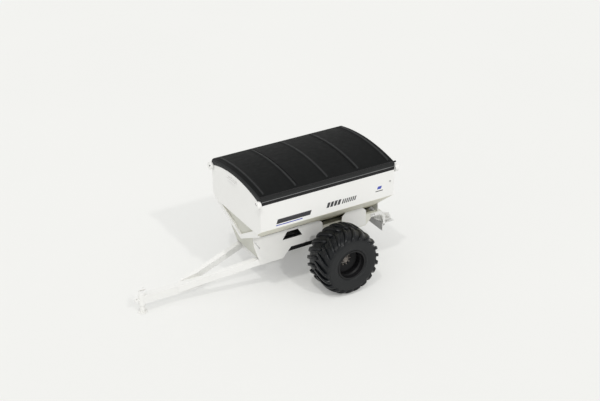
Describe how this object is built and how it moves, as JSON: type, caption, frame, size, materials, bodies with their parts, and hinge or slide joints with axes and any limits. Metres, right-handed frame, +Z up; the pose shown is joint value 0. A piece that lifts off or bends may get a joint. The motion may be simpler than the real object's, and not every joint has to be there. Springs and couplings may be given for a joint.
{
  "type": "grain cart",
  "caption": "Pull-type grain cart: white V-bottom hopper with a belt floor, black roll cover, A-frame drawbar with screw jack, flotation tyres and rear spinner discs.",
  "frame": {"origin": "on the ground under the middle of the cart's length and width", "axes": "+X forward to the hitch, +Y to the cart's left side, +Z up"},
  "size_m": [7.972, 4.3942, 3.496],
  "materials": {
    "white_paint": "satin white paint",
    "cream_paint": "satin cream paint",
    "black_paint": "satin black paint",
    "cover_fabric": "matt coated cover cloth",
    "tyre_rubber": "matt tyre rubber",
    "belt_rubber": "matt belt rubber",
    "grey_paint": "satin grey paint",
    "hub_iron": "dull cast hub",
    "bright_steel": "plain steel"
  },
  "bodies": {
    "chassis": {"left_side_plates": "white_paint", "right_side_plates": "white_paint", "front_bulkhead": "white_paint", "front_crossbeam": "white_paint", "drawbar_left_beam": "white_paint", "drawbar_right_beam": "white_paint", "tongue": "white_paint", "jack_sleeve": "white_paint", "hitch_tang": "white_paint", "left_side_panel": "white_paint", "right_side_panel": "white_paint", "front_panel": "white_paint", "rear_panel": "white_paint", "front_struts": "white_paint", "corner_ears": "white_paint", "gate_frame": "white_paint", "spinner_hangers": "white_paint", "material_divider": "white_paint", "left_slope_sheet": "cream_paint", "right_slope_sheet": "cream_paint", "front_slope_sheet": "cream_paint", "left_sill": "black_paint", "right_sill": "black_paint", "cross_members": "black_paint", "axle_beam": "black_paint", "cover_rails": "black_paint", "cover": "cover_fabric", "conveyor_belt": "belt_rubber", "grab_handle": "grey_paint", "belt_gearbox": "grey_paint", "spinner_deck": "grey_paint", "spinner_motors": "grey_paint", "left_spindle": "bright_steel", "right_spindle": "bright_steel", "cover_bows": "bright_steel", "belt_bed": "bright_steel", "roller_bearings": "bright_steel"},
    "left_wheel": {"left_tyre": "tyre_rubber", "left_rim": "black_paint", "left_hub": "hub_iron", "left_hub_bearings": "bright_steel", "left_hub_cap": "hub_iron", "left_wheel_nuts": "hub_iron"},
    "right_wheel": {"right_tyre": "tyre_rubber", "right_rim": "black_paint", "right_hub": "hub_iron", "right_hub_bearings": "bright_steel", "right_hub_cap": "hub_iron", "right_wheel_nuts": "hub_iron"},
    "cover_roller": {"cover_roll_tube": "black_paint"},
    "drive_drum": {"drive_roller": "bright_steel"},
    "idler_drum": {"idler_roller": "bright_steel"},
    "gate": {"feed_gate": "bright_steel", "gate_screw": "bright_steel"},
    "handwheel": {"gate_handwheel": "black_paint"},
    "left_disc": {"left_spinner": "white_paint"},
    "right_disc": {"right_spinner": "white_paint"},
    "leg": {"jack_leg": "white_paint"},
    "leg_screw": {"jack_screw": "bright_steel"},
    "crank": {"jack_crank": "white_paint"}
  },
  "joints": [
    {"name": "left_wheel_spin", "type": "hinge", "parent": "chassis", "child": "left_wheel", "pos_m": [-1.549, 1.68, 0.935], "axis": [0, 1, 0], "continuous": true},
    {"name": "right_wheel_spin", "type": "hinge", "parent": "chassis", "child": "right_wheel", "pos_m": [-1.549, -1.68, 0.935], "axis": [0, 1, 0], "continuous": true},
    {"name": "drive_roller_spin", "type": "hinge", "parent": "chassis", "child": "drive_drum", "pos_m": [-3.401, 0, 1.2747], "axis": [0, 1, 0], "continuous": true},
    {"name": "idler_roller_spin", "type": "hinge", "parent": "chassis", "child": "idler_drum", "pos_m": [0.248, 0, 1.2747], "axis": [0, 1, 0], "continuous": true},
    {"name": "handwheel_turn", "type": "hinge", "parent": "chassis", "child": "handwheel", "pos_m": [-3.537, 0, 2.1], "axis": [0, 0, 1], "range_deg": [0, 5040]},
    {"name": "gate_lift", "type": "slide", "parent": "chassis", "child": "gate", "axis": [0, 0, 1], "range_m": [0, 0.28]},
    {"name": "left_spinner_spin", "type": "hinge", "parent": "chassis", "child": "left_disc", "pos_m": [-3.721, 0.33, 0.995], "axis": [0, 0, 1], "continuous": true},
    {"name": "right_spinner_spin", "type": "hinge", "parent": "chassis", "child": "right_disc", "pos_m": [-3.721, -0.33, 0.995], "axis": [0, 0, 1], "continuous": true},
    {"name": "jack_crank_turn", "type": "hinge", "parent": "chassis", "child": "crank", "pos_m": [3.781, -0.15, 0.575], "axis": [0, -1, 0], "range_deg": [0, 7200]},
    {"name": "jack_leg_lift", "type": "slide", "parent": "chassis", "child": "leg", "axis": [0, 0, 1], "range_m": [0, 0.2]},
    {"name": "jack_screw_turn", "type": "hinge", "parent": "chassis", "child": "leg_screw", "pos_m": [3.781, 0, 0.45], "axis": [0, 0, 1], "range_deg": [0, 7200]},
    {"name": "cover_roll", "type": "hinge", "parent": "chassis", "child": "cover_roller", "pos_m": [0, 0, -2.36641], "axis": [1, 0, 0], "range_deg": [0, 27.21], "deforming": ["cover"]}
  ],
  "couplings": [
    {"joint": "idler_roller_spin", "follows": "drive_roller_spin", "ratio": 1},
    {"joint": "right_spinner_spin", "follows": "left_spinner_spin", "ratio": -1},
    {"joint": "handwheel_turn", "follows": "gate_lift", "rad_per_m": 314.16},
    {"joint": "jack_crank_turn", "follows": "jack_leg_lift", "rad_per_m": 628.32},
    {"joint": "jack_screw_turn", "follows": "jack_leg_lift", "rad_per_m": 628.32}
  ]
}
